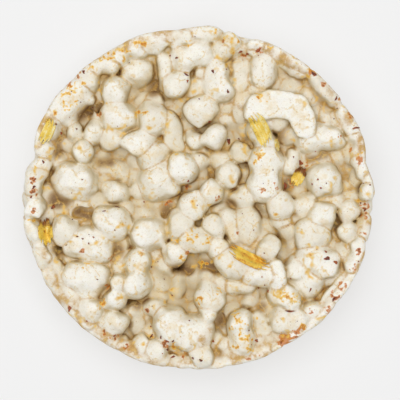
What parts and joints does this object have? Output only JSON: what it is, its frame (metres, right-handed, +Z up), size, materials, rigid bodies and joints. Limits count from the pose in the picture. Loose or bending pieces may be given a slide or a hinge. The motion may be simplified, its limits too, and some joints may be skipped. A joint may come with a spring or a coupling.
{
  "type": "puffed rice cake",
  "caption": "Round puffed rice cake: swollen cream grains fused and pressed into one thick crisp disc, lying flat with its open lumpy face up.",
  "frame": {"origin": "centre of the underside", "axes": "+Z up through the thickness, towards the open lumpy face; +X and +Y across the round"},
  "size_m": [0.0922, 0.0908, 0.017],
  "materials": {
    "puffed_rice": "matt, dry and slightly porous skin of puffed grain"
  },
  "bodies": {
    "root": {"rice_cake": "puffed_rice"}
  },
  "joints": []
}
